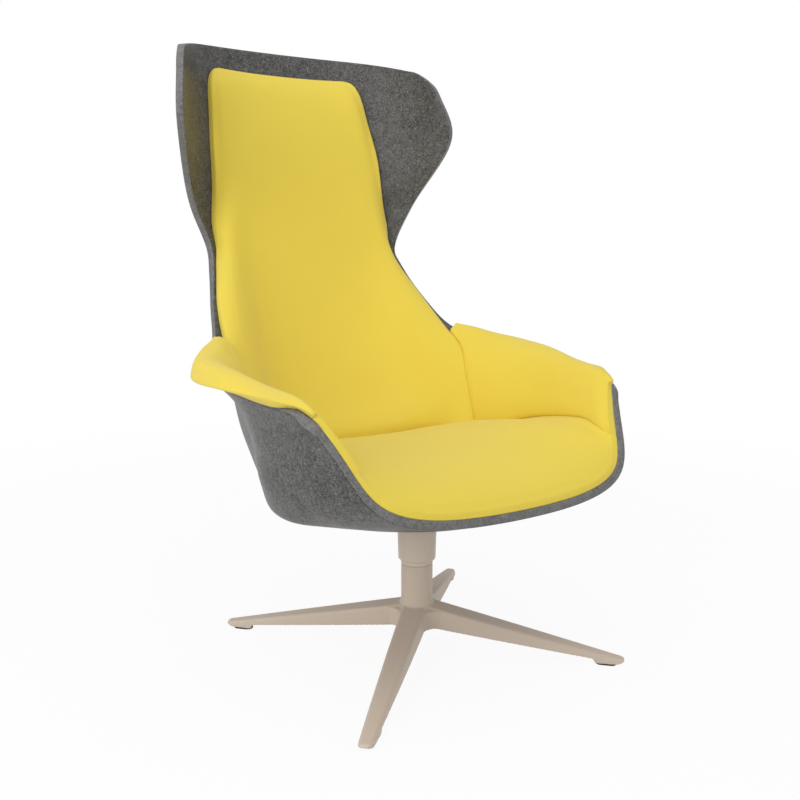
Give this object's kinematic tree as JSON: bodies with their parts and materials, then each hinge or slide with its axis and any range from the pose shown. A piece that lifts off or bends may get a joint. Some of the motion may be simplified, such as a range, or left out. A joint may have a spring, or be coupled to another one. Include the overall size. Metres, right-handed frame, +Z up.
{
  "type": "acoustic high back lounge chair",
  "caption": "High back lounge chair with a winged pressed felt shell, upholstered seat, back and arm pads, and a cast star base with a free swivel.",
  "frame": {"origin": "middle of the bounding box at its bottom, on the floor; the swivel axis stands 153 mm in front of it (towards -Y)", "axes": "+Z up, the sitter faces -Y, +X is the sitter's left"},
  "size_m": [0.7586, 0.9032, 1.1868],
  "materials": {
    "pressed_felt": "dense mottled grey wool felt",
    "yellow_fabric": "fine plain weave wool",
    "beige_metal": "satin powder coat",
    "black_metal": "matt powder coat",
    "bright_steel": "zinc plated",
    "bearing_nylon": "matt",
    "glide_plastic": "matt",
    "black_plastic": "matt",
    "birch_ply": "raw plywood"
  },
  "bodies": {
    "base": {"star_base": "beige_metal", "glide_front_right": "glide_plastic", "glide_front_left": "glide_plastic", "glide_rear_left": "glide_plastic", "glide_rear_right": "glide_plastic", "spindle": "bright_steel", "spindle_bolt": "bright_steel", "spindle_bolt_washer": "bright_steel", "hub_cap": "black_plastic", "thrust_washer": "bearing_nylon", "retaining_washer": "bright_steel", "retaining_clip": "bright_steel"},
    "seat": {"turning_sleeve": "beige_metal", "swivel_collar": "beige_metal", "lower_bush": "bearing_nylon", "upper_bush": "bearing_nylon", "seat_plate": "black_metal", "seat_board": "birch_ply", "seat_bolt_1": "bright_steel", "seat_bolt_2": "bright_steel", "seat_bolt_3": "bright_steel", "seat_bolt_4": "bright_steel", "tee_nut_1": "bright_steel", "tee_nut_2": "bright_steel", "tee_nut_3": "bright_steel", "tee_nut_4": "bright_steel", "felt_shell": "pressed_felt", "seat_cushion": "yellow_fabric", "back_cushion": "yellow_fabric", "arm_pad_left": "yellow_fabric", "arm_pad_right": "yellow_fabric"}
  },
  "joints": [
    {"name": "swivel", "type": "hinge", "parent": "base", "child": "seat", "pos_m": [0, -0.1534, 0.167], "axis": [0, 0, 1], "continuous": true}
  ]
}
